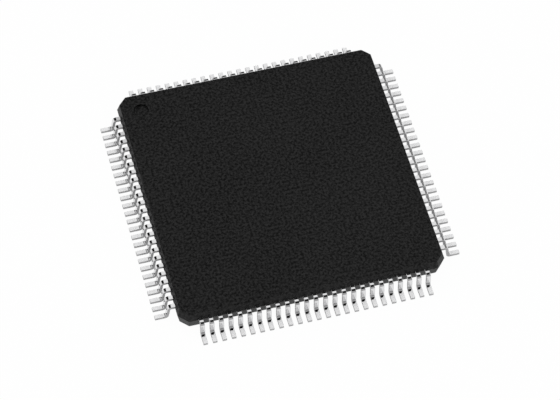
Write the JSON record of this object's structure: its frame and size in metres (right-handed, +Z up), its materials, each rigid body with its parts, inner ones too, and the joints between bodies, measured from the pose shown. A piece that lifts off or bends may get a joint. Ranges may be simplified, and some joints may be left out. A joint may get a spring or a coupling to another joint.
{
  "type": "quad flat pack chip",
  "caption": "Square moulded surface-mount chip package with a row of fine gull-wing leads along each of its four sides and a round pin-one dimple.",
  "frame": {"origin": "centre of the seating plane, under the feet", "axes": "+X along the front row of leads, +Y from the front row to the back row, +Z up out of the marking face; the pin-one dimple is at -X, +Y"},
  "size_m": [0.0162, 0.0162, 0.0013],
  "materials": {
    "mould_compound": "fine matte",
    "tinned_leads": "matte tin plating",
    "lead_frame_copper": "rolled copper alloy",
    "die_adhesive": "cured silver epoxy",
    "silicon": "polished",
    "bond_wire": "drawn"
  },
  "bodies": {
    "root": {"mould_body": "mould_compound", "die_pad": "lead_frame_copper", "die_attach": "die_adhesive", "die": "silicon", "leads_left_1": "tinned_leads", "leads_left_2": "tinned_leads", "leads_left_3": "tinned_leads", "leads_left_4": "tinned_leads", "leads_left_5": "tinned_leads", "leads_front_1": "tinned_leads", "leads_front_2": "tinned_leads", "leads_front_3": "tinned_leads", "leads_front_4": "tinned_leads", "leads_front_5": "tinned_leads", "leads_right_1": "tinned_leads", "leads_right_2": "tinned_leads", "leads_right_3": "tinned_leads", "leads_right_4": "tinned_leads", "leads_right_5": "tinned_leads", "leads_back_1": "tinned_leads", "leads_back_2": "tinned_leads", "leads_back_3": "tinned_leads", "leads_back_4": "tinned_leads", "leads_back_5": "tinned_leads", "wires_left_1": "bond_wire", "wires_left_2": "bond_wire", "wires_left_3": "bond_wire", "wires_left_4": "bond_wire", "wires_left_5": "bond_wire", "wires_front_1": "bond_wire", "wires_front_2": "bond_wire", "wires_front_3": "bond_wire", "wires_front_4": "bond_wire", "wires_front_5": "bond_wire", "wires_right_1": "bond_wire", "wires_right_2": "bond_wire", "wires_right_3": "bond_wire", "wires_right_4": "bond_wire", "wires_right_5": "bond_wire", "wires_back_1": "bond_wire", "wires_back_2": "bond_wire", "wires_back_3": "bond_wire", "wires_back_4": "bond_wire", "wires_back_5": "bond_wire"}
  },
  "joints": []
}
